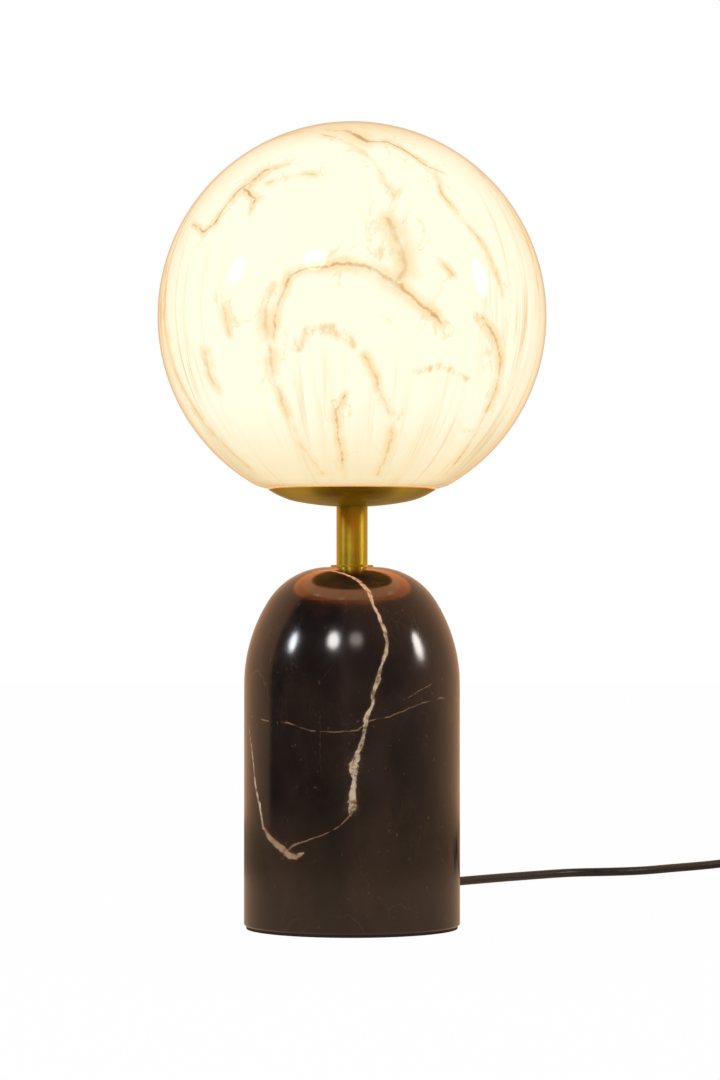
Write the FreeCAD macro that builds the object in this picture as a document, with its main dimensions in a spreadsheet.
import FreeCAD, Part
import math
import os

import Sketcher

# A globe table lamp: marbled opal glass globe in a shallow brass dish, on a brass stem and a domed marble base.
# The origin is on the table, on the lamp's axis; +Z is up, +Y is the back, where the cord leaves.

os.makedirs("parts", exist_ok=True)
doc = FreeCAD.newDocument("globe_lamp")

# ---------------------------------------------------------------- driving sizes, in millimetres and degrees

DRIVING_SIZES = {
    # stone base
    "stone_radius": 55.4,
    "stone_height": 183.5,
    "stone_flat_radius": 15.0,
    "dome_height": 60.0,
    "dome_side_bend": 80.0,
    "crown_height": 17.0,
    "crown_bend": 37.0,
    "stone_edge_chamfer": 0.8,
    "pad_thickness": 1.5,
    "pad_inset": 1.2,
    "cavity_radius": 30.0,
    "cavity_height": 58.0,
    "plate_radius": 40.0,
    "plate_thickness": 1.5,
    "plate_screw_circle": 35.0,
    "plate_screw_head": 3.4,
    "plate_screw_shank": 1.6,
    "screw_plug_radius": 3.2,
    "screw_plug_length": 12.0,
    "screw_plug_floor": 0.3,
    "plate_screw_point": 1.5,
    # tie rod and its nuts
    "rod_radius": 5.0,
    "rod_bore_radius": 3.7,
    "rod_clearance": 0.4,
    "rod_tail": 12.0,
    "nut_flats": 14.0,
    "nut_height": 3.5,
    "rod_washer_radius": 14.0,
    "rod_washer_thickness": 1.6,
    "lock_washer_radius": 8.2,
    "lock_washer_thickness": 1.0,
    # stem
    "stem_washer_radius": 11.0,
    "stem_washer_thickness": 1.2,
    "stem_radius": 8.0,
    "stem_length": 30.1,
    "stem_wall": 1.2,
    # dish
    "dish_seat_radius": 8.6,
    "dish_floor_bend": 150.0,
    "dish_knee_radius": 28.0,
    "dish_side_bend": 40.0,
    "dish_rim_radius": 43.0,
    "dish_wall": 1.0,
    # globe
    "globe_radius": 100.0,
    "globe_wall": 3.0,
    "globe_foot_radius": 40.5,
    "globe_mouth_radius": 37.5,
    "globe_shoulder_bend": 22.0,
    "globe_rim_gap": 0.4,
    "gasket_width": 3.0,
    # globe clips
    "clip_thickness": 0.8,
    "clip_width": 8.0,
    "clip_hub_radius": 8.4,
    "clip_rise": 12.0,
    "clip_clearance": 0.4,
    # lampholder
    "holder_cap_radius": 16.5,
    "holder_cap_height": 21.0,
    "holder_skirt_radius": 20.0,
    "holder_skirt_height": 33.0,
    "holder_wall": 2.0,
    "insert_thickness": 8.0,
    "shell_bore_radius": 13.4,
    "shell_wall": 0.5,
    "shell_height": 24.0,
    "shell_floor_hole": 8.0,
    "holder_neck_radius": 9.0,
    "terminal_hole_radius": 4.0,
    # bulb
    "bulb_radius": 30.0,
    "bulb_length": 108.0,
    "bulb_cap_radius": 13.05,
    "bulb_cap_height": 22.0,
    "bulb_foot_height": 3.5,
    "bulb_housing_height": 32.0,
    "bulb_wall": 1.2,
    "bulb_seat_height": 2.5,
    "bulb_foot_radius": 4.5,
    "thread_depth": 0.7,
    # cord
    "cord_diameter": 5.2,
    "cord_exit_height": 16.0,
    "cord_hole_radius": 4.6,
    "bush_flange_radius": 7.0,
    "bush_flange_thickness": 2.0,
    "bush_tail_length": 24.0,
    "bush_tip_wall": 0.8,
    "bush_seat_depth": 1.0,
    "stop_tie_thickness": 1.2,
    "stop_tie_width": 4.8,
    "wire_radius": 1.1,
    "terminal_reach": 7.0,
    "running_fit": 0.05,
    "assembly_gap": 0.3,
    # hand switch on the cord
    "switch_length": 62.0,
    "switch_width": 26.0,
    "switch_height": 15.0,
    "switch_wall": 1.6,
    "rocker_length": 15.0,
    "rocker_width": 9.0,
    "rocker_stand": 2.2,
    "rocker_tilt": 12.0,
    "rocker_pin_radius": 1.0,
    "rocker_depth": 2.5,
    "switch_room": 46.0,
    "switch_top_wall": 3.6,
    "contact_length": 14.0,
    "contact_width": 4.0,
    "contact_thickness": 1.0,
    "contact_reach": 10.0,
    # put-away coil
    "coil_outer_radius": 38.0,
    "coil_pitch": 5.8,
    "coil_layer_rise": 5.8,
    "coil_turns": 6.25,
    "tie_thickness": 0.6,
    "tie_width": 8.0,
    # plug
    "plug_length": 37.0,
    "plug_face_width": 35.0,
    "plug_tail_width": 13.0,
    "plug_thickness": 13.6,
    "plug_waist_length": 20.4,
    "plug_waist_step": 2.0,
    "plug_pin_radius": 2.0,
    "plug_pin_length": 19.0,
    "plug_pin_spacing": 18.6,
    "plug_sleeve_length": 10.0,
    "plug_pin_groove": 0.3,
    "plug_edge": 3.0,
}

sizes = doc.addObject("Spreadsheet::Sheet", "Sizes")
for row, (size_name, size_value) in enumerate(DRIVING_SIZES.items(), start=1):
    sizes.set("A%d" % row, size_name)
    sizes.set("B%d" % row, str(size_value))
    sizes.setAlias("B%d" % row, size_name)
doc.recompute()


class Dim:
    """A length that knows both its value and the expression which binds it to the sheet."""

    def __init__(self, text, value):
        self.text = text
        self.value = value

    def _join(self, other, sign, value):
        return Dim("(%s %s %s)" % (self.text, sign, as_dim(other).text), value)

    def __add__(self, other):
        return self._join(other, "+", self.value + as_dim(other).value)

    def __sub__(self, other):
        return self._join(other, "-", self.value - as_dim(other).value)

    def __mul__(self, other):
        return self._join(other, "*", self.value * as_dim(other).value)

    def __truediv__(self, other):
        return self._join(other, "/", self.value / as_dim(other).value)


def as_dim(number):
    return number if isinstance(number, Dim) else Dim(repr(float(number)), float(number))


def size(name):
    return Dim("Sizes.%s" % name, float(sizes.get(name)))


def root_of(dim):
    return Dim("sqrt(%s)" % dim.text, math.sqrt(dim.value))


def leg(hypotenuse, other_leg):
    """The other side of a right triangle, used for heights on a circle."""
    return root_of(hypotenuse * hypotenuse - other_leg * other_leg)


# ---------------------------------------------------------------- ways of making a piece

def origin_feature(body, role):
    return [f for f in body.Origin.OriginFeatures if f.Role == role][0]


def new_body(label):
    body = doc.addObject("PartDesign::Body", label)
    body.Label = label
    return body


def new_sketch(body, name, plane="XZ_Plane"):
    sketch = body.newObject("Sketcher::SketchObject", name)
    sketch.AttachmentSupport = [(origin_feature(body, plane), "")]
    sketch.MapMode = "FlatFace"
    return sketch


def bind_point(sketch, edge, end, across, up):
    """Ties one sketch point to the sheet; a point on an axis is put on that axis."""
    if across.value == 0.0:
        sketch.addConstraint(Sketcher.Constraint("PointOnObject", edge, end, -2))
    else:
        index = sketch.addConstraint(Sketcher.Constraint("DistanceX", -1, 1, edge, end, across.value))
        sketch.setExpression("Constraints[%d]" % index, across.text)
    if up.value == 0.0:
        sketch.addConstraint(Sketcher.Constraint("PointOnObject", edge, end, -1))
    else:
        index = sketch.addConstraint(Sketcher.Constraint("DistanceY", -1, 1, edge, end, up.value))
        sketch.setExpression("Constraints[%d]" % index, up.text)


def arc_between(start, end, bend):
    """The shorter arc of radius |bend| from start to end, drawn anticlockwise; a positive bend turns left."""
    run = end - start
    half = run.Length / 2.0
    side = FreeCAD.Vector(-run.y, run.x, 0).normalize()
    reach = math.copysign(math.sqrt(bend * bend - half * half), bend)
    centre = (start + end) * 0.5 + side * reach
    first, last = (start, end) if bend > 0 else (end, start)
    begin = math.atan2(first.y - centre.y, first.x - centre.x)
    finish = math.atan2(last.y - centre.y, last.x - centre.x)
    if finish < begin:
        finish += 2.0 * math.pi
    return Part.ArcOfCircle(Part.Circle(centre, FreeCAD.Vector(0, 0, 1), abs(bend)), begin, finish)


def draw_outline(sketch, points):
    """Closed outline of (across, up) or (across, up, bend) points; a bend curves the edge to the next point."""
    corners = [FreeCAD.Vector(as_dim(p[0]).value, as_dim(p[1]).value, 0) for p in points]
    count = len(points)
    starts = []
    for i, point in enumerate(points):
        here = corners[i]
        there = corners[(i + 1) % count]
        if len(point) == 3:
            arc = arc_between(here, there, as_dim(point[2]).value)
            index = sketch.addGeometry(arc, False)
            first, last = (1, 2) if as_dim(point[2]).value > 0 else (2, 1)
        else:
            index = sketch.addGeometry(Part.LineSegment(here, there), False)
            first, last = 1, 2
        starts.append((index, first, last))
    for i in range(count):
        index, _, last = starts[i]
        after, first, _ = starts[(i + 1) % count]
        sketch.addConstraint(Sketcher.Constraint("Coincident", index, last, after, first))
    for i, point in enumerate(points):
        index, first, _ = starts[i]
        bind_point(sketch, index, first, as_dim(point[0]), as_dim(point[1]))
        if len(point) == 3:
            bend = as_dim(point[2])
            number = sketch.addConstraint(Sketcher.Constraint("Radius", index, abs(bend.value)))
            sketch.setExpression("Constraints[%d]" % number, "abs(%s)" % bend.text)


def revolve(body, sketch):
    turn = body.newObject("PartDesign::Revolution", "Turn")
    turn.Profile = sketch
    turn.ReferenceAxis = (sketch, ["V_Axis"])
    turn.Angle = 360.0
    doc.recompute()
    return turn


def turned(label, points):
    """A piece turned about the Z axis from its half outline."""
    body = new_body(label)
    sketch = new_sketch(body, label + "_profile")
    draw_outline(sketch, points)
    revolve(body, sketch)
    return body


def ring(label, inner, outer, low, high):
    return turned(label, [(inner, low), (outer, low), (outer, high), (inner, high)])


def rod(label, radius, low, high):
    return turned(label, [(0, low), (radius, low), (radius, high), (0, high)])


def lying_back(body, height):
    """Turns a piece so that its own Z axis points to the back, at the given height."""
    body.Placement = FreeCAD.Placement(FreeCAD.Vector(0, 0, height.value), FreeCAD.Rotation(0, 0, -90))
    body.setExpression("Placement.Base.z", height.text)


def cut_hole(body, name, plane, radius, across, up, length=None):
    """A round hole square to a plane, through everything on its side, or to a length."""
    sketch = new_sketch(body, name, plane)
    centre = FreeCAD.Vector(across.value, up.value, 0)
    sketch.addGeometry(Part.Circle(centre, FreeCAD.Vector(0, 0, 1), radius.value), False)
    bind_point(sketch, 0, 3, across, up)
    number = sketch.addConstraint(Sketcher.Constraint("Radius", 0, radius.value))
    sketch.setExpression("Constraints[%d]" % number, radius.text)
    pocket = body.newObject("PartDesign::Pocket", name + "_cut")
    pocket.Profile = sketch
    if length is None:
        pocket.Type = "ThroughAll"
    else:
        pocket.Length = length.value
        pocket.setExpression("Length", length.text)
    return pocket


def turn_copies(body, feature, count):
    pattern = body.newObject("PartDesign::PolarPattern", feature.Name + "_round")
    pattern.Originals = [feature]
    pattern.Axis = (origin_feature(body, "Z_Axis"), [""])
    pattern.Angle = 360.0
    pattern.Occurrences = count
    body.Tip = pattern
    doc.recompute()
    return pattern


def hex_nut(label, flats, bore, low, height):
    """A plain hexagon nut standing on the given level."""
    prism = doc.addObject("Part::Prism", label + "_hexagon")
    prism.Polygon = 6
    prism.Circumradius = flats.value / math.sqrt(3.0)
    prism.setExpression("Circumradius", "%s / sqrt(3)" % flats.text)
    prism.Height = height.value
    prism.setExpression("Height", height.text)
    prism.setExpression("Placement.Base.z", low.text)
    hole = doc.addObject("Part::Cylinder", label + "_bore")
    hole.setExpression("Radius", bore.text)
    hole.setExpression("Height", height.text)
    hole.setExpression("Placement.Base.z", low.text)
    nut = doc.addObject("Part::Cut", label)
    nut.Base = prism
    nut.Tool = hole
    nut.Label = label
    return nut


def block(name, length, width, height, x, y, z):
    """A box centred across X and Y on (x, y), standing on z."""
    box = doc.addObject("Part::Box", name)
    box.setExpression("Length", length.text)
    box.setExpression("Width", width.text)
    box.setExpression("Height", height.text)
    box.setExpression("Placement.Base.x", "%s - %s / 2" % (as_dim(x).text, length.text))
    box.setExpression("Placement.Base.y", "%s - %s / 2" % (as_dim(y).text, width.text))
    box.setExpression("Placement.Base.z", as_dim(z).text)
    return box


def plain(label, shape, place=None):
    feature = doc.addObject("Part::Feature", label)
    feature.Label = label
    feature.Shape = shape
    if place is not None:
        feature.Placement = place
    return feature


# ---------------------------------------------------------------- levels up the lamp

GAP = size("assembly_gap")
CORD_RADIUS = size("cord_diameter") / 2
ROD = size("rod_radius")
ROD_HOLE = ROD + size("running_fit")
STONE_LOW = size("pad_thickness")
STONE_TOP = STONE_LOW + size("stone_height")
PLATE_TOP = STONE_LOW + size("plate_thickness")
CAVITY_TOP = STONE_LOW + size("cavity_height")
STEM_LOW = STONE_TOP + size("stem_washer_thickness")
DISH_LOW = STEM_LOW + size("stem_length")
ROD_WASHER_LOW = CAVITY_TOP - size("rod_washer_thickness")
LOCK_WASHER_LOW = ROD_WASHER_LOW - size("lock_washer_thickness")
NUT_LOW = LOCK_WASHER_LOW - size("nut_height")
EXIT = size("cord_exit_height")

# dish: a wide floor arc centred on the axis, then a tighter side arc tangent to it at the knee
FLOOR_CENTRE = DISH_LOW + leg(size("dish_floor_bend"), size("dish_seat_radius"))
KNEE_LOW = FLOOR_CENTRE - leg(size("dish_floor_bend"), size("dish_knee_radius"))
BEND_SHARE = size("dish_side_bend") / size("dish_floor_bend")
SIDE_CENTRE_R = size("dish_knee_radius") - size("dish_knee_radius") * BEND_SHARE
SIDE_CENTRE_Z = KNEE_LOW + (FLOOR_CENTRE - KNEE_LOW) * BEND_SHARE
DISH_RIM_Z = SIDE_CENTRE_Z - leg(size("dish_side_bend"), size("dish_rim_radius") - SIDE_CENTRE_R)
DISH_FLOOR = DISH_LOW + size("dish_wall")


def dish_side_inside(radius):
    """Height of the dish's inner face at a radius outside its knee."""
    inner_bend = size("dish_side_bend") - size("dish_wall")
    return SIDE_CENTRE_Z - leg(inner_bend, radius - SIDE_CENTRE_R)


# globe: a sphere with a rounded shoulder down to a flat ground foot round its mouth
GLOBE_FOOT = DISH_RIM_Z + size("globe_rim_gap")
SHOULDER_CENTRE = GLOBE_FOOT + size("globe_shoulder_bend")
CENTRE_STEP = size("globe_radius") - size("globe_shoulder_bend")
GLOBE_CENTRE = SHOULDER_CENTRE + leg(CENTRE_STEP, size("globe_foot_radius"))
GLOBE_TOP = GLOBE_CENTRE + size("globe_radius")

# fastening above the dish, lampholder and bulb
CLIP_TOP = DISH_FLOOR + size("clip_thickness")
DISH_NUT_LOW = CLIP_TOP + size("lock_washer_thickness")
HOLDER_LOW = DISH_NUT_LOW + size("nut_height")
HOLDER_SPLIT = HOLDER_LOW + size("holder_cap_height")
HOLDER_TOP = HOLDER_SPLIT + size("holder_skirt_height")
INSERT_TOP = HOLDER_SPLIT + size("insert_thickness")
ROD_TOP = HOLDER_LOW + size("holder_wall") * 4
BULB_FOOT = INSERT_TOP + size("bulb_seat_height")
BULB_CAP_LOW = BULB_FOOT + size("bulb_foot_height")
BULB_CAP_TOP = BULB_CAP_LOW + size("bulb_cap_height")
BULB_SPLIT = BULB_CAP_TOP + size("bulb_housing_height")
BULB_TOP = BULB_FOOT + size("bulb_length")


# ---------------------------------------------------------------- stone base and what is under it

def stone_base():
    """Upright wall, a long side arc, a tighter crown arc and a small flat; bored for the rod and the cord."""
    radius = size("stone_radius")
    bore = ROD + size("rod_clearance")
    edge = size("stone_edge_chamfer")
    recess = size("plate_radius") + GAP
    dome_low = STONE_TOP - size("dome_height")
    crown_low = STONE_TOP - size("crown_height")
    crown_r = radius - size("dome_side_bend") + leg(size("dome_side_bend"), crown_low - dome_low)
    body = new_body("marble_base")
    sketch = new_sketch(body, "marble_profile")
    draw_outline(sketch, [
        (recess, STONE_LOW), (radius - edge, STONE_LOW), (radius, STONE_LOW + edge),
        (radius, dome_low, size("dome_side_bend")), (crown_r, crown_low, size("crown_bend")),
        (size("stone_flat_radius"), STONE_TOP), (bore, STONE_TOP), (bore, CAVITY_TOP),
        (size("cavity_radius"), CAVITY_TOP), (size("cavity_radius"), PLATE_TOP), (recess, PLATE_TOP)])
    revolve(body, sketch)
    solid = body.Shape.Volume
    cut_hole(body, "cord_hole", "XZ_Plane", size("cord_hole_radius"), as_dim(0), EXIT)
    face = radius - size("bush_seat_depth")
    seat = cut_hole(body, "bush_seat", "XZ_Plane", size("bush_flange_radius") + GAP, as_dim(0), EXIT)
    seat_sketch = seat.Profile[0]
    seat_sketch.AttachmentOffset = FreeCAD.Placement(FreeCAD.Vector(0, 0, -face.value), FreeCAD.Rotation())
    seat_sketch.setExpression("AttachmentOffset.Base.z", "-%s" % face.text)
    doc.recompute()
    print("cord hole and bush seat take", round(solid - body.Shape.Volume, 1), "mm3")
    return body


def copies_round(label, single, circle, count):
    """Equal copies of one solid spread evenly on a circle, kept as one group of separate solids."""
    copies = []
    for i in range(count):
        copy = single.copy()
        copy.translate(FreeCAD.Vector(circle.value, 0, 0))
        copy.rotate(FreeCAD.Vector(0, 0, 0), FreeCAD.Vector(0, 0, 1), 360.0 * i / count + FIRST_SCREW_ANGLE)
        copies.append(copy)
    return plain(label, Part.makeCompound(copies))


def turned_shape(points):
    """A loose solid of revolution from half-outline points given as plain numbers."""
    corners = [FreeCAD.Vector(r, 0, z) for r, z in points]
    face = Part.Face(Part.makePolygon(corners + corners[:1]))
    return face.revolve(FreeCAD.Vector(0, 0, 0), FreeCAD.Vector(0, 0, 1), 360.0)


def stone_underside():
    """Cover plate, its countersunk screws in nylon plugs, and the soft pad that the lamp stands on."""
    plate_r = size("plate_radius")
    circle = size("plate_screw_circle")
    head_r = size("plate_screw_head")
    shank_r = size("plate_screw_shank")
    plug_r = size("screw_plug_radius")
    plug_top = PLATE_TOP + size("screw_plug_length")
    for i in range(PLATE_SCREWS):
        degrees = 360.0 * i / PLATE_SCREWS + FIRST_SCREW_ANGLE
        angle = math.radians(degrees)
        across = Dim("(%s * cos(%g))" % (circle.text, degrees), circle.value * math.cos(angle))
        up = Dim("(%s * sin(%g))" % (circle.text, degrees), circle.value * math.sin(angle))
        plug_hole(stone, "plug_hole_%d" % i, across, up, plug_r, plug_top)
    low = STONE_LOW.value
    top = PLATE_TOP.value
    end = plug_top.value
    fit = size("running_fit").value
    floor = end - size("screw_plug_floor").value
    point = size("plate_screw_point").value
    tip = floor - fit * 4
    bored = shank_r.value + fit
    screw = turned_shape([(0, low), (head_r.value, low), (shank_r.value, top), (shank_r.value, tip - point),
                          (0, tip)])
    copies_round("plate_screws", screw, circle, PLATE_SCREWS)
    sleeve = turned_shape([(bored, top), (plug_r.value, top), (plug_r.value, end), (0, end), (0, floor),
                           (bored, floor - point)])
    copies_round("screw_plugs", sleeve, circle, PLATE_SCREWS)
    countersink = turned_shape([(0, low), (head_r.value + fit, low), (bored, top), (0, top)])
    drilled = doc.addObject("Part::Cut", "base_cover_plate")
    drilled.Base = rod("base_plate", plate_r, STONE_LOW, PLATE_TOP)
    drilled.Tool = copies_round("plate_countersinks", countersink, circle, PLATE_SCREWS)
    drilled.Label = "base_cover_plate"
    rod("base_pad", size("stone_radius") - size("pad_inset"), as_dim(0), STONE_LOW)


def plug_hole(body, name, across, up, radius, top):
    """A blind hole up into the stone's underside for a screw plug."""
    sketch = new_sketch(body, name, "XY_Plane")
    sketch.addGeometry(Part.Circle(FreeCAD.Vector(across.value, up.value, 0), FreeCAD.Vector(0, 0, 1),
                                   radius.value), False)
    bind_point(sketch, 0, 3, across, up)
    number = sketch.addConstraint(Sketcher.Constraint("Radius", 0, radius.value))
    sketch.setExpression("Constraints[%d]" % number, radius.text)
    before = body.Shape.Volume
    pocket = body.newObject("PartDesign::Pocket", name + "_cut")
    pocket.Profile = sketch
    pocket.Reversed = True
    pocket.Length = top.value
    pocket.setExpression("Length", top.text)
    doc.recompute()
    if body.Shape.Volume >= before:
        raise RuntimeError(name + " cuts nothing")


PLATE_SCREWS = 3
FIRST_SCREW_ANGLE = 30.0
stone = stone_base()
stone_underside()


# ---------------------------------------------------------------- tie rod, stem and dish

def tie_rod_and_nuts():
    """The hollow threaded rod that holds the whole lamp together, and what it is tightened with."""
    ring("tie_rod", size("rod_bore_radius"), ROD, NUT_LOW - size("rod_tail"), ROD_TOP)
    ring("rod_washer", ROD_HOLE, size("rod_washer_radius"), ROD_WASHER_LOW, CAVITY_TOP)
    ring("rod_lock_washer", ROD_HOLE, size("lock_washer_radius"), LOCK_WASHER_LOW, ROD_WASHER_LOW)
    hex_nut("rod_nut", size("nut_flats"), ROD_HOLE, NUT_LOW, size("nut_height"))
    ring("dish_lock_washer", ROD_HOLE, size("lock_washer_radius"), CLIP_TOP, DISH_NUT_LOW)
    hex_nut("dish_nut", size("nut_flats"), ROD_HOLE, DISH_NUT_LOW, size("nut_height"))


def stem():
    """Brass tube round the rod, and the thin washer on the stone that it stands on."""
    edge = size("stem_washer_thickness") / 3
    outer = size("stem_washer_radius")
    turned("stem_washer", [(ROD_HOLE, STONE_TOP), (outer, STONE_TOP), (outer, STEM_LOW - edge),
                           (outer - edge, STEM_LOW), (ROD_HOLE, STEM_LOW)])
    ring("stem_tube", size("stem_radius") - size("stem_wall"), size("stem_radius"), STEM_LOW, DISH_LOW)


def dish():
    """Spun brass dish: flat seat, wide floor arc and tighter side arc, with a thin square lip."""
    wall = size("dish_wall")
    knee = size("dish_knee_radius")
    floor_bend = size("dish_floor_bend")
    side_bend = size("dish_side_bend")
    rim = size("dish_rim_radius")
    seat = size("dish_seat_radius")
    shrink = (floor_bend - wall) / floor_bend
    inner_knee = knee * shrink
    inner_knee_z = FLOOR_CENTRE - (FLOOR_CENTRE - KNEE_LOW) * shrink
    inner_seat_z = DISH_FLOOR
    inner_seat = leg(floor_bend - wall, FLOOR_CENTRE - inner_seat_z)
    inner_rim = SIDE_CENTRE_R + leg(side_bend - wall, SIDE_CENTRE_Z - DISH_RIM_Z)
    turned("dish", [(ROD_HOLE, DISH_LOW), (seat, DISH_LOW, floor_bend), (knee, KNEE_LOW, side_bend),
                    (rim, DISH_RIM_Z), (inner_rim, DISH_RIM_Z, side_bend * -1 + wall),
                    (inner_knee, inner_knee_z, floor_bend * -1 + wall), (inner_seat, inner_seat_z),
                    (ROD_HOLE, inner_seat_z)])


def globe_clips():
    """Sprung steel plate with three arms that press outwards just inside the globe's mouth."""
    thick = size("clip_thickness")
    hub = size("clip_hub_radius")
    reach = size("globe_mouth_radius") - size("clip_clearance")
    body = new_body("globe_clip_plate")
    sketch = new_sketch(body, "clip_hub_profile")
    draw_outline(sketch, [(ROD_HOLE, DISH_FLOOR), (hub, DISH_FLOOR), (hub, CLIP_TOP), (ROD_HOLE, CLIP_TOP)])
    revolve(body, sketch)
    foot = hub - thick * 2
    rise = size("clip_rise")
    shoulder = reach - thick * 3
    arm = new_sketch(body, "clip_arm_profile")
    draw_outline(arm, [
        (foot, DISH_FLOOR), (hub, DISH_FLOOR), (shoulder, DISH_FLOOR + rise / 2), (reach, DISH_FLOOR + rise),
        (reach - thick * 2, CLIP_TOP + rise * 1.5), (reach - thick * 3, CLIP_TOP + rise * 1.5),
        (reach - thick, DISH_FLOOR + rise), (shoulder - thick / 2, CLIP_TOP + rise / 2), (hub, CLIP_TOP),
        (foot, CLIP_TOP)])
    pad = body.newObject("PartDesign::Pad", "clip_arm")
    pad.Profile = arm
    pad.Midplane = True
    pad.Length = size("clip_width").value
    pad.setExpression("Length", size("clip_width").text)
    doc.recompute()
    turn_copies(body, pad, 3)


def gasket():
    """Silicone ring that fills the wedge between the dish's side and the globe's flat foot."""
    low_r = size("globe_mouth_radius")
    high_r = low_r + size("gasket_width")
    turned("globe_gasket", [(low_r, dish_side_inside(low_r)), (high_r, dish_side_inside(high_r)),
                            (high_r, GLOBE_FOOT), (low_r, GLOBE_FOOT)])


def globe():
    """Blown opal globe: sphere, rounded shoulder and ground foot, with an even wall."""
    wall = size("globe_wall")
    radius = size("globe_radius")
    bend = size("globe_shoulder_bend")
    foot = size("globe_foot_radius")
    mouth = size("globe_mouth_radius")
    reach = radius / CENTRE_STEP
    touch_r = foot * reach
    touch_z = GLOBE_CENTRE - (GLOBE_CENTRE - SHOULDER_CENTRE) * reach
    inner_reach = (radius - wall) / CENTRE_STEP
    inner_r = foot * inner_reach
    inner_z = GLOBE_CENTRE - (GLOBE_CENTRE - SHOULDER_CENTRE) * inner_reach
    turned("globe_shade", [
        (mouth, GLOBE_FOOT), (foot, GLOBE_FOOT, bend), (touch_r, touch_z, radius),
        (radius, GLOBE_CENTRE, radius), (0, GLOBE_TOP), (0, GLOBE_TOP - wall, wall - radius),
        (radius - wall, GLOBE_CENTRE, wall - radius), (inner_r, inner_z, wall - bend),
        (foot, GLOBE_FOOT + wall), (mouth, GLOBE_FOOT + wall)])


tie_rod_and_nuts()
stem()
dish()
globe_clips()
gasket()
globe()


# ---------------------------------------------------------------- lampholder and bulb

BULB_THREADS = 5


def lampholder():
    """E27 holder in a moulded cap and skirt, with its terminal insert, screw shell and centre contact."""
    wall = size("holder_wall")
    cap = size("holder_cap_radius")
    skirt = size("holder_skirt_radius")
    edge = wall * 0.75
    turned("holder_cap", [(ROD_HOLE, HOLDER_LOW), (cap - edge, HOLDER_LOW), (cap, HOLDER_LOW + edge),
                          (skirt, HOLDER_SPLIT), (skirt - wall, HOLDER_SPLIT), (cap - wall, HOLDER_LOW + edge * 2),
                          (cap - edge * 2, HOLDER_LOW + wall), (size("holder_neck_radius"), HOLDER_LOW + wall),
                          (size("holder_neck_radius"), ROD_TOP), (ROD_HOLE, ROD_TOP)])
    lip = size("shell_bore_radius") + size("shell_wall") + size("running_fit")
    turned("holder_skirt", [(skirt - wall, HOLDER_SPLIT), (skirt, HOLDER_SPLIT), (skirt, HOLDER_TOP - edge),
                            (skirt - edge, HOLDER_TOP), (lip, HOLDER_TOP), (lip, HOLDER_TOP - wall),
                            (skirt - wall, HOLDER_TOP - wall)])
    slot_r = size("terminal_hole_radius")
    ring("holder_insert", slot_r, skirt - wall - size("running_fit"), HOLDER_SPLIT, INSERT_TOP)
    rod("holder_centre_contact", slot_r - size("running_fit"), HOLDER_SPLIT, BULB_FOOT)
    bore = size("shell_bore_radius")
    outer = bore + size("shell_wall")
    floor_hole = size("shell_floor_hole")
    shell_floor = INSERT_TOP + size("shell_wall")
    shell_top = INSERT_TOP + size("shell_height")
    turned("holder_screw_shell", [(floor_hole, INSERT_TOP), (outer, INSERT_TOP), (outer, shell_top),
                                  (bore, shell_top), (bore, shell_floor), (floor_hole, shell_floor)])


def bulb():
    """LED bulb: contact foot, glass insulator, screw cap with rolled thread, housing and round diffuser."""
    foot_r = size("bulb_foot_radius")
    cap = size("bulb_cap_radius")
    radius = size("bulb_radius")
    wall = size("bulb_wall")
    pitch = size("bulb_cap_height") / BULB_THREADS
    groove = cap - size("thread_depth")
    plate = size("bulb_foot_height") / 3
    rod("bulb_foot_contact", foot_r, BULB_FOOT, BULB_FOOT + plate)
    turned("bulb_foot_insulator", [(0, BULB_FOOT + plate), (foot_r, BULB_FOOT + plate),
                                   (groove - wall, BULB_CAP_LOW), (groove - wall, BULB_CAP_LOW + wall),
                                   (0, BULB_CAP_LOW + wall)])
    thread = [(groove - wall, BULB_CAP_LOW), (groove, BULB_CAP_LOW)]
    for i in range(BULB_THREADS):
        turn_low = BULB_CAP_LOW + pitch * i
        thread += [(cap, turn_low + pitch * 0.35), (cap, turn_low + pitch * 0.65), (groove, turn_low + pitch)]
    thread += [(groove - wall, BULB_CAP_TOP)]
    turned("bulb_screw_cap", thread)
    turned("bulb_housing", [
        (0, BULB_CAP_TOP), (cap + wall, BULB_CAP_TOP), (cap + wall, BULB_CAP_TOP + wall * 2),
        (radius - wall, BULB_SPLIT), (0, BULB_SPLIT)])
    # the diffuser is a band leaning out to its widest, closed by a dome
    centre = BULB_TOP - radius
    turned("bulb_diffuser", [
        (radius - wall, BULB_SPLIT), (radius, centre, radius), (0, BULB_TOP), (0, BULB_TOP - wall, wall - radius),
        (radius - wall, centre), (radius - wall * 2, BULB_SPLIT)])


lampholder()
bulb()


# ---------------------------------------------------------------- tubes along a chosen route

def vector(point):
    return FreeCAD.Vector(*point)


def rounded_path(points, name):
    """Straight runs joined by tangent arcs, each as large as its two runs allow; prints the radii."""
    edges = []
    radii = []
    here = vector(points[0])
    for before, corner, after in zip(points, points[1:], points[2:]):
        corner = vector(corner)
        to_before = vector(before) - corner
        to_after = vector(after) - corner
        half_turn = (math.pi - to_before.getAngle(to_after)) / 2.0
        trim = 0.45 * min(to_before.Length, to_after.Length)
        radius = trim / math.tan(half_turn)
        inward = to_before.normalize() + to_after.normalize()
        start = corner + to_before * trim
        end = corner + to_after * trim
        centre = corner + inward.normalize() * (radius / math.cos(half_turn))
        middle = centre + (corner - centre).normalize() * radius
        edges.append(Part.LineSegment(here, start).toShape())
        edges.append(Part.Arc(start, middle, end).toShape())
        radii.append(radius)
        here = end
    edges.append(Part.LineSegment(here, vector(points[-1])).toShape())
    print(name, "arc radii in mm:", " ".join("%.0f" % r for r in radii))
    return Part.Wire(edges)


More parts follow.
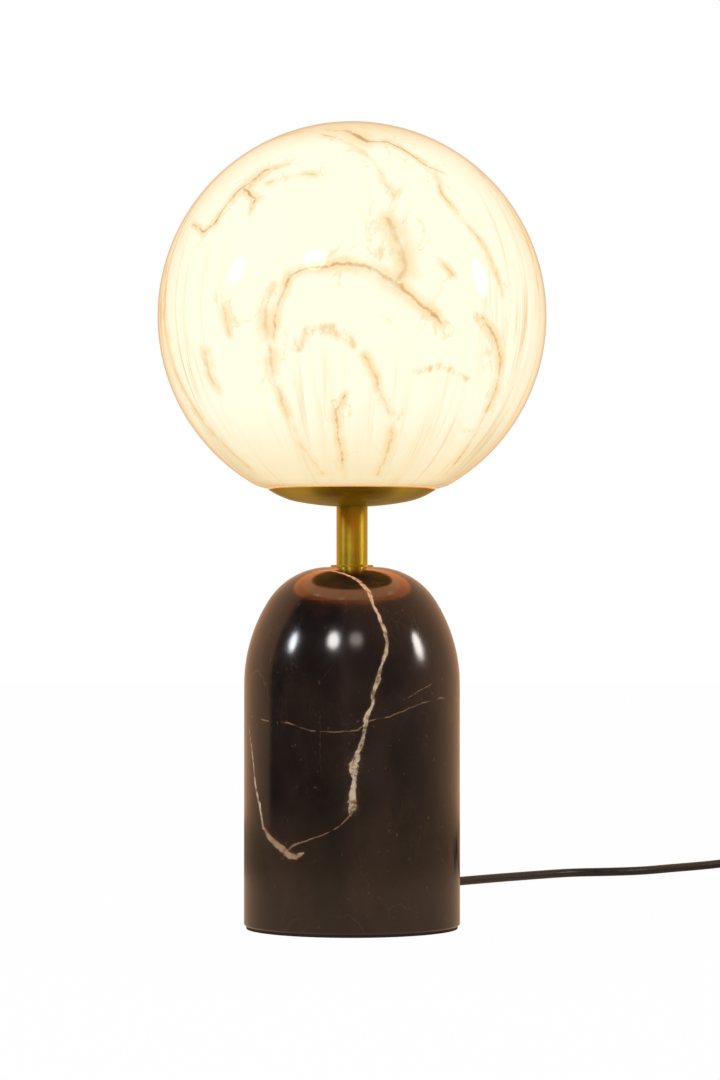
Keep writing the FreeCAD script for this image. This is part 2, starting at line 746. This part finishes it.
def tube_along(wire, radius, start, heading):
    circle = Part.Wire(Part.Circle(vector(start), vector(heading), radius).toShape())
    shell = Part.BRepOffsetAPI.MakePipeShell(wire)
    shell.add(circle)
    shell.build()
    shell.makeSolid()
    return shell.shape()


def cord_stretch(label, points, radius):
    """A plain round tube along a route, with its volume set against section times length."""
    wire = rounded_path(points, label)
    heading = vector(points[1]) - vector(points[0])
    solid = tube_along(wire, radius, points[0], heading)
    expected = math.pi * radius * radius * wire.Length
    print("%s: length %.1f mm, volume %.4f of section times length" % (label, wire.Length,
                                                                     solid.Volume / expected))
    return plain(label, solid)


# ---------------------------------------------------------------- cord inside the lamp and its exit

EXIT_Z = EXIT.value
FLANGE_FACE = (size("stone_radius") - size("bush_seat_depth")).value
BUSH_END = FLANGE_FACE + size("bush_flange_thickness").value + size("bush_tail_length").value
SPLIT_Z = ROD_TOP.value
INNER_ROUTE = [
    (0.0, 0.0, SPLIT_Z),
    (0.0, 0.0, SPLIT_Z - 50.0),
    (0.0, 0.5, SPLIT_Z - 100.0),
    (0.0, 0.0, SPLIT_Z - 150.0),
    (0.0, 0.0, EXIT_Z + 20.0),
    (0.0, 5.5, EXIT_Z + 5.5),
    (0.0, 20.0, EXIT_Z),
    (0.0, 52.0, EXIT_Z + 0.05),
    (0.0, BUSH_END, EXIT_Z),
]


def cord_bush():
    """Moulded bush through the stone's wall, with a flange in a spot face and a tapered tail outside."""
    inner = as_dim(CORD_RADIUS + size("running_fit"))
    flange = size("bush_flange_radius")
    barrel = size("cord_hole_radius") - size("running_fit")
    face = size("stone_radius") - size("bush_seat_depth")
    neck = face + size("bush_flange_thickness")
    tip = neck + size("bush_tail_length")
    body = turned("cord_bush", [
        (inner, size("cavity_radius")), (barrel, size("cavity_radius")), (barrel, face), (flange, face),
        (flange, neck), (barrel, neck), (inner + size("bush_tip_wall"), tip), (inner, tip)])
    lying_back(body, EXIT)


def stop_tie():
    """Nylon tie pulled tight round the cord inside the cavity, so that a pull can't reach the terminals."""
    inner = CORD_RADIUS + size("running_fit")
    band = inner + size("stop_tie_thickness")
    far = size("cavity_radius") - GAP
    near = far - size("stop_tie_width")
    body = turned("cord_stop_tie", [(inner, near), (band, near), (band, far), (inner, far)])
    lying_back(body, EXIT)


cord_bush()
stop_tie()


# ---------------------------------------------------------------- the cord's free stretches, on the table

CORD_R = CORD_RADIUS.value
SWITCH_MID_Z = (size("switch_height") / 2).value
SWITCH_PLACE = (311.0, 416.0)
SWITCH_NEAR = SWITCH_PLACE[0] - size("switch_length").value / 2
SWITCH_FAR = SWITCH_PLACE[0] + size("switch_length").value / 2
COIL_CENTRE = (348.0, 352.0)
COIL_LOW = size("tie_thickness").value + GAP.value + CORD_R
COIL_TOP = COIL_LOW + size("coil_layer_rise").value
COIL_OUTER = size("coil_outer_radius").value
COIL_EAST = COIL_CENTRE[0] + COIL_OUTER
COIL_SOUTH = COIL_CENTRE[1] - COIL_OUTER
COIL_END_RUN = size("cord_diameter").value
PLUG_MID_Z = (size("plug_thickness") / 2).value
PLUG_TAIL_X = 314.0

LEAD_ROUTE = [
    (0.0, BUSH_END, EXIT_Z),
    (0.0, BUSH_END + 22.0, EXIT_Z),
    (0.5, 130.0, 7.5),
    (2.0, 158.0, CORD_R),
    (9.0, 192.0, CORD_R),
    (25.0, 228.0, CORD_R),
    (52.0, 258.0, CORD_R),
    (84.0, 292.0, CORD_R),
    (112.0, 318.0, CORD_R),
    (134.0, 337.0, CORD_R),
    (158.0, 342.0, CORD_R),
    (180.0, 352.0, CORD_R),
    (200.0, 374.0, CORD_R),
    (221.0, 394.0, CORD_R),
    (241.0, 409.0, CORD_R + 1.0),
    (260.0, SWITCH_PLACE[1], SWITCH_MID_Z),
    (SWITCH_NEAR, SWITCH_PLACE[1], SWITCH_MID_Z),
]
LINK_ROUTE = [
    (SWITCH_FAR, SWITCH_PLACE[1], SWITCH_MID_Z),
    (SWITCH_FAR + 14.0, SWITCH_PLACE[1], SWITCH_MID_Z),
    (372.0, 409.0, 5.5),
    (382.0, 395.0, COIL_LOW + 0.2),
    (COIL_EAST, 377.0, COIL_LOW),
    (COIL_EAST, COIL_CENTRE[1] + COIL_END_RUN, COIL_LOW),
]
TAIL_ROUTE = [
    (COIL_CENTRE[0] - COIL_END_RUN, COIL_SOUTH, COIL_TOP),
    (337.0, COIL_SOUTH, COIL_TOP),
    (321.0, COIL_SOUTH, PLUG_MID_Z),
    (PLUG_TAIL_X, COIL_SOUTH, PLUG_MID_Z),
]


WIRE_LEAD_IN = 3.5
WIRE_END_RUN = 4.0
WIRE_SWAY = 0.2


def conductors():
    """The two insulated wires from the end of the sheath to the terminals under the insert."""
    wire = size("wire_radius").value
    start = wire + size("running_fit").value * 2
    terminal = size("terminal_reach").value
    top = HOLDER_SPLIT.value
    for label, side in (("wire_live", 1.0), ("wire_neutral", -1.0)):
        cord_stretch(label, [
            (side * start, 0.0, SPLIT_Z), (side * start, WIRE_SWAY, SPLIT_Z + WIRE_LEAD_IN),
            (side * terminal, 0.0, top - WIRE_END_RUN), (side * terminal, 0.0, top)], wire)


cord_stretch("cord_inner", INNER_ROUTE, CORD_R)
conductors()
cord_stretch("cord_lead", LEAD_ROUTE, CORD_R)
cord_stretch("cord_link", LINK_ROUTE, CORD_R)
cord_stretch("cord_tail", TAIL_ROUTE, CORD_R)


# ---------------------------------------------------------------- the put-away coil

def coil_point(turn):
    """Point on the coil after so many turns: in, up a layer at the reversal, and out again, clockwise."""
    turns = size("coil_turns").value
    middle = turns / 2.0
    inward = min(turn, turns - turn)
    radius = COIL_OUTER - size("coil_pitch").value * inward
    climb = min(max((turn - middle + 0.25) / 0.5, 0.0), 1.0)
    height = COIL_LOW + size("coil_layer_rise").value * climb * climb * (3.0 - 2.0 * climb)
    angle = -2.0 * math.pi * turn
    return FreeCAD.Vector(COIL_CENTRE[0] + radius * math.cos(angle), COIL_CENTRE[1] + radius * math.sin(angle),
                          height)


def coil_heading(turn):
    step = 1e-4
    turns = size("coil_turns").value
    before = coil_point(max(turn - step, 0.0))
    after = coil_point(min(turn + step, turns))
    return (after - before).normalize()


def biarc(start, start_way, end, end_way):
    """Two tangent arcs from one point and heading to another."""
    chord = end - start
    ways = start_way + end_way
    square = 2.0 * (1.0 - start_way.dot(end_way))
    reach = (math.sqrt(chord.dot(ways) ** 2 + square * chord.dot(chord)) - chord.dot(ways)) / square
    first = start + start_way * reach
    second = end - end_way * reach
    joint = (first + second) * 0.5
    edges = []
    for corner, a, b in ((first, start, joint), (second, joint, end)):
        edges.append(tangent_arc(a, corner, b))
    return edges


def tangent_arc(start, corner, end):
    """The arc that touches both legs of a corner at equal distances from it."""
    middle_way = ((start + end) * 0.5 - corner)
    half = (start - corner).getAngle(end - corner) / 2.0
    leg_length = (start - corner).Length
    radius = leg_length * math.tan(half)
    to_centre = leg_length / math.cos(half)
    middle = corner + middle_way.normalize() * (to_centre - radius)
    return Part.Arc(start, middle, end).toShape()


def least_self_gap(wire, radius, skip):
    """Least distance between the tube's surface and itself, past a skipped stretch along it."""
    points = wire.discretize(Distance=1.5)
    step = wire.Length / (len(points) - 1)
    apart = int(skip / step)
    least = min(points[i].distanceToPoint(points[j])
                for i in range(len(points)) for j in range(i + apart, len(points)))
    return least - 2.0 * radius


def cord_coil():
    """One unbroken tube: a spiral in, a climb at the reversal, and a spiral out on top, with straight ends."""
    quarters = int(round(size("coil_turns").value * 4))
    knots = [i / 4.0 for i in range(quarters + 1)]
    ways = [coil_heading(k) for k in knots]
    ways[0] = FreeCAD.Vector(0, -1, 0)
    ways[-1] = FreeCAD.Vector(-1, 0, 0)
    start = coil_point(0.0)
    end = coil_point(knots[-1])
    edges = [Part.LineSegment(start - ways[0] * COIL_END_RUN, start).toShape()]
    for i in range(quarters):
        edges += biarc(coil_point(knots[i]), ways[i], coil_point(knots[i + 1]), ways[i + 1])
    edges.append(Part.LineSegment(end, end + ways[-1] * COIL_END_RUN).toShape())
    wire = Part.Wire(edges)
    solid = tube_along(wire, CORD_R, start - ways[0] * COIL_END_RUN, ways[0])
    expected = math.pi * CORD_R ** 2 * wire.Length
    print("cord_coil: length %.1f mm, volume ratio %.4f, least self gap %.2f mm" % (
        wire.Length, solid.Volume / expected, least_self_gap(wire, CORD_R, 20.0)))
    return plain("cord_coil", solid)


cord_coil()


# ---------------------------------------------------------------- tie, switch and plug

def coil_tie():
    """Band round the coil's turns on the side that faces away from its ends."""
    thick = size("tie_thickness")
    inner_r = size("coil_outer_radius") - size("coil_pitch") * (size("coil_turns") / 2) - CORD_RADIUS - GAP
    outer_r = size("coil_outer_radius") + CORD_RADIUS + GAP
    across = outer_r - inner_r
    middle = as_dim(COIL_CENTRE[0]) - (outer_r + inner_r) / 2
    tall = size("coil_layer_rise") + CORD_RADIUS * 2 + GAP * 2
    outside = block("tie_outside", across + thick * 2, size("tie_width"), tall + thick * 2, middle,
                    COIL_CENTRE[1], 0.0)
    inside = block("tie_inside", across, size("tie_width") * 2, tall, middle, COIL_CENTRE[1], thick)
    band = doc.addObject("Part::Cut", "coil_tie")
    band.Base = outside
    band.Tool = inside
    band.Label = "coil_tie"


def padded_block(label, length, width, low, high, corner):
    """A body: an upright block with rounded corners, centred on its own origin."""
    body = new_body(label)
    sketch = new_sketch(body, label + "_outline", "XY_Plane")
    x = length / 2
    y = width / 2
    draw_outline(sketch, [(x * -1, y * -1), (x, y * -1), (x, y), (x * -1, y)])
    sketch.AttachmentOffset = FreeCAD.Placement(FreeCAD.Vector(0, 0, low.value), FreeCAD.Rotation())
    sketch.setExpression("AttachmentOffset.Base.z", low.text)
    pad = body.newObject("PartDesign::Pad", label + "_block")
    pad.Profile = sketch
    tall = high - low
    pad.Length = tall.value
    pad.setExpression("Length", tall.text)
    doc.recompute()
    upright = ["Edge%d" % (i + 1) for i, edge in enumerate(pad.Shape.Edges)
               if abs(edge.tangentAt(edge.FirstParameter).z) > 0.99]
    rounding = body.newObject("PartDesign::Fillet", label + "_corners")
    rounding.Base = (pad, upright)
    rounding.Radius = corner.value
    rounding.setExpression("Radius", corner.text)
    doc.recompute()
    return body


def rim_names(shape, height):
    """Names of the edges that lie level at a height."""
    return ["Edge%d" % (i + 1) for i, edge in enumerate(shape.Edges)
            if abs(edge.BoundBox.ZMin - height) < 1e-3 and abs(edge.BoundBox.ZMax - height) < 1e-3]


def soften(body, height, radius):
    base = body.Tip
    rounding = body.newObject("PartDesign::Fillet", body.Label + "_soft_%d" % int(height * 10))
    rounding.Base = (base, rim_names(base.Shape, height))
    rounding.Radius = radius.value
    rounding.setExpression("Radius", radius.text)
    doc.recompute()


def pocket_block(body, name, length, width, low, high, x=0.0):
    """Removes a square-cornered block from a body."""
    sketch = new_sketch(body, name, "XY_Plane")
    right = as_dim(x) + length / 2
    left = as_dim(x) - length / 2
    y = width / 2
    draw_outline(sketch, [(left, y * -1), (right, y * -1), (right, y), (left, y)])
    sketch.AttachmentOffset = FreeCAD.Placement(FreeCAD.Vector(0, 0, low.value), FreeCAD.Rotation())
    sketch.setExpression("AttachmentOffset.Base.z", low.text)
    pocket = body.newObject("PartDesign::Pocket", name + "_cut")
    pocket.Profile = sketch
    pocket.Reversed = True
    tall = high - low
    pocket.Length = tall.value
    pocket.setExpression("Length", tall.text)
    before = body.Shape.Volume
    doc.recompute()
    if body.Shape.Volume >= before:
        raise RuntimeError(name + " cuts nothing")


def at_switch(thing):
    thing.Placement = FreeCAD.Placement(FreeCAD.Vector(SWITCH_PLACE[0], SWITCH_PLACE[1], 0), FreeCAD.Rotation())


def hand_switch():
    """Two-part case with a rocker on a pivot pin, and two contact strips."""
    length = size("switch_length")
    width = size("switch_width")
    high = size("switch_height")
    wall = size("switch_wall")
    split = high / 2
    corner = width * 0.35
    lower = padded_block("switch_lower_case", length, width, as_dim(0), split, corner)
    soften(lower, 0.0, wall / 2)
    room = size("switch_room")
    pocket_block(lower, "lower_room", room, width - wall * 2, wall, split)
    top_wall = size("switch_top_wall")
    upper = padded_block("switch_upper_case", length, width, split, high, corner)
    soften(upper, high.value, wall)
    pocket_block(upper, "upper_room", room, width - wall * 2, split, high - top_wall)
    window_l = size("rocker_length") + GAP * 2
    window_w = size("rocker_width") + GAP * 2
    pocket_block(upper, "rocker_window", window_l, window_w, high - top_wall, high)
    at_switch(lower)
    at_switch(upper)
    pivot = high - top_wall / 2
    pin_length = window_w + size("rocker_pin_radius") * 4
    lying_pin("switch_rocker_pin", size("rocker_pin_radius"), pin_length, pivot)
    drilled = doc.addObject("Part::Cut", "switch_top")
    drilled.Base = upper
    drilled.Tool = lying_pin("switch_pin_drill", size("rocker_pin_radius"), pin_length, pivot)
    drilled.Label = "switch_top_case"
    rocker(pivot)
    strip_contacts(wall)


def lying_pin(label, radius, length, height):
    """A pin along Y at the switch's middle."""
    pin = doc.addObject("Part::Cylinder", label)
    pin.Label = label
    pin.setExpression("Radius", radius.text)
    pin.setExpression("Height", length.text)
    start = as_dim(SWITCH_PLACE[1]) + length / 2
    pin.Placement = FreeCAD.Placement(FreeCAD.Vector(SWITCH_PLACE[0], start.value, height.value),
                                      FreeCAD.Rotation(FreeCAD.Vector(1, 0, 0), 90))
    pin.setExpression("Placement.Base.y", start.text)
    pin.setExpression("Placement.Base.z", height.text)
    return pin


def rocker(pivot):
    """Rocker with two faces that meet in a shallow valley; its ends are arcs about the pin, so they clear."""
    end_r = size("rocker_length") / 2
    valley = size("rocker_stand")
    below = size("rocker_depth")
    lean = size("rocker_tilt")
    body = new_body("switch_rocker")
    sketch = new_sketch(body, "rocker_profile")
    # each tip is where the sloping face meets the end arc
    slope = Dim("tan(%s)" % lean.text, math.tan(math.radians(lean.value)))
    steep = slope * slope + 1
    tip_x = (root_of(end_r * end_r * steep - valley * valley) - slope * valley) / steep
    tip_z = valley + slope * tip_x
    low_x = leg(end_r, below)
    draw_outline(sketch, [(low_x * -1, below * -1), (low_x, below * -1, end_r), (tip_x, tip_z), (0, valley),
                          (tip_x * -1, tip_z, end_r)])
    pad = body.newObject("PartDesign::Pad", "rocker_block")
    pad.Profile = sketch
    pad.Midplane = True
    pad.Length = size("rocker_width").value
    pad.setExpression("Length", size("rocker_width").text)
    doc.recompute()
    hole = cut_hole(body, "rocker_bore", "XZ_Plane", size("rocker_pin_radius") + size("running_fit"),
                    as_dim(0), as_dim(0))
    hole.Midplane = True
    doc.recompute()
    place = FreeCAD.Vector(SWITCH_PLACE[0], SWITCH_PLACE[1], pivot.value)
    body.Placement = FreeCAD.Placement(place, FreeCAD.Rotation(FreeCAD.Vector(0, 1, 0), lean.value))
    body.setExpression("Placement.Base.z", pivot.text)


def strip_contacts(wall):
    """Two brass strips on the lower case's floor, one for each side of the switched wire."""
    long = size("contact_length")
    strips = []
    for i, side in enumerate((-1, 1)):
        middle = as_dim(SWITCH_PLACE[0]) + size("contact_reach") * side
        strips.append(block("contact_strip_%d" % i, long, size("contact_width"), size("contact_thickness"),
                            middle, SWITCH_PLACE[1], wall))
    pair = doc.addObject("Part::Compound", "switch_contacts")
    pair.Links = strips
    pair.Label = "switch_contacts"


def plug():
    """Flat two-pin plug: a body that tapers to the cord, two pins and the sleeves round their roots."""
    long = size("plug_length")
    face_w = size("plug_face_width")
    tail_w = size("plug_tail_width")
    thick = size("plug_thickness")
    body = new_body("plug_body")
    sketch = new_sketch(body, "plug_outline", "XY_Plane")
    waist = size("plug_waist_length") * -1
    waist_y = face_w / 2 - size("plug_waist_step")
    draw_outline(sketch, [(0, tail_w / -2), (0, tail_w / 2), (waist, waist_y), (long * -1, face_w / 2),
                          (long * -1, face_w / -2), (waist, waist_y * -1)])
    pad = body.newObject("PartDesign::Pad", "plug_block")
    pad.Profile = sketch
    pad.Length = thick.value
    pad.setExpression("Length", thick.text)
    doc.recompute()
    soften(body, 0.0, size("plug_edge"))
    soften(body, thick.value, size("plug_edge"))
    body.Placement = FreeCAD.Placement(FreeCAD.Vector(PLUG_TAIL_X, COIL_SOUTH, 0), FreeCAD.Rotation())
    pins = []
    sleeves = []
    for side in (-1.0, 1.0):
        y = as_dim(COIL_SOUTH) + size("plug_pin_spacing") * (side / 2.0)
        pins.append(lying_rod("plug_pin_%d" % side, size("plug_pin_radius") - size("plug_pin_groove"),
                              size("plug_pin_length"), y))
        sleeves.append(lying_rod("plug_sleeve_%d" % side, size("plug_pin_radius"),
                                 size("plug_sleeve_length"), y))
    sleeve_pair = doc.addObject("Part::Compound", "sleeve_pair")
    sleeve_pair.Links = sleeves
    pin_pair = doc.addObject("Part::Compound", "plug_pins")
    pin_pair.Links = pins
    pin_pair.Label = "plug_pins"
    bored = doc.addObject("Part::Cut", "plug_pin_sleeves")
    bored.Base = sleeve_pair
    bored.Tool = pin_pair
    bored.Label = "plug_pin_sleeves"


def lying_rod(label, radius, length, y):
    """A round rod pointing along -X from the plug's face, at its middle height."""
    made = doc.addObject("Part::Cylinder", label)
    made.setExpression("Radius", radius.text)
    made.setExpression("Height", length.text)
    face = as_dim(PLUG_TAIL_X) - size("plug_length")
    made.Placement = FreeCAD.Placement(FreeCAD.Vector(face.value, y.value, PLUG_MID_Z),
                                       FreeCAD.Rotation(FreeCAD.Vector(0, 1, 0), -90))
    made.setExpression("Placement.Base.x", face.text)
    made.setExpression("Placement.Base.y", y.text)
    made.setExpression("Placement.Base.z", "Sizes.plug_thickness / 2")
    return made


coil_tie()
hand_switch()
plug()


# ---------------------------------------------------------------- checks and export

PIECES_THAT_ALSO_CUT = ("plug_pins",)


def finished_pieces():
    """Every labelled piece, leaving out the bodies and tools that a cut or a group has used up."""
    pieces = []
    for thing in doc.Objects:
        used = any(other.TypeId.startswith("Part::") for other in thing.InList)
        made = thing.TypeId == "PartDesign::Body" or thing.TypeId.startswith("Part::")
        if made and (not used or thing.Label in PIECES_THAT_ALSO_CUT):
            pieces.append(thing)
    return pieces


doc.recompute()
for thing in doc.Objects:
    if "Invalid" in thing.State or "Error" in thing.State:
        raise RuntimeError("failed: %s %s" % (thing.Label, thing.State))

pieces = finished_pieces()
for piece in pieces:
    if piece.Shape.isNull() or not piece.Shape.isValid():
        raise RuntimeError("bad shape: " + piece.Label)

for piece in pieces:
    piece.Shape.exportStep("parts/%s.step" % piece.Label)
    box = piece.Shape.BoundBox
    print("%-22s %9.1f mm3  z %7.2f to %7.2f  r %6.2f" % (
        piece.Label, piece.Shape.Volume, box.ZMin, box.ZMax, box.XMax))
print(len(pieces), "pieces")
